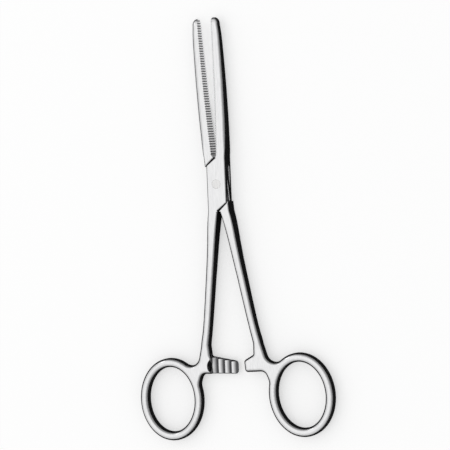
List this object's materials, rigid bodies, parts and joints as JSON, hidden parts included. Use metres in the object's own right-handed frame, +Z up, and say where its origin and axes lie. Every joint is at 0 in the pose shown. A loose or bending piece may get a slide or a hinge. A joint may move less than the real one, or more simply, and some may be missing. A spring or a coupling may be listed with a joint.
{
  "type": "artery forceps",
  "caption": "Straight box-lock artery forceps with serrated jaws, oval finger rings and a ratchet catch between the shanks, shown slightly open.",
  "frame": {"origin": "on the hinge axis, at the lower face of the box lock on which the instrument lies", "axes": "+Z up along the hinge axis, +Y along the instrument towards the jaw tips, +X towards the ring of the tongue arm"},
  "size_m": [0.0916, 0.1828, 0.0066],
  "materials": {
    "polished_steel": "mirror to fine satin polish",
    "pin_steel": "ground flush and polished"
  },
  "bodies": {
    "box_half": {"box_arm": "polished_steel", "hinge_pin": "pin_steel"},
    "tongue_half": {"tongue_arm": "polished_steel"}
  },
  "joints": [
    {"name": "box_lock", "type": "hinge", "parent": "box_half", "child": "tongue_half", "pos_m": [0, 0, 0.0033], "axis": [0, 0, 1], "range_deg": [-5.1, 84.9]}
  ]
}
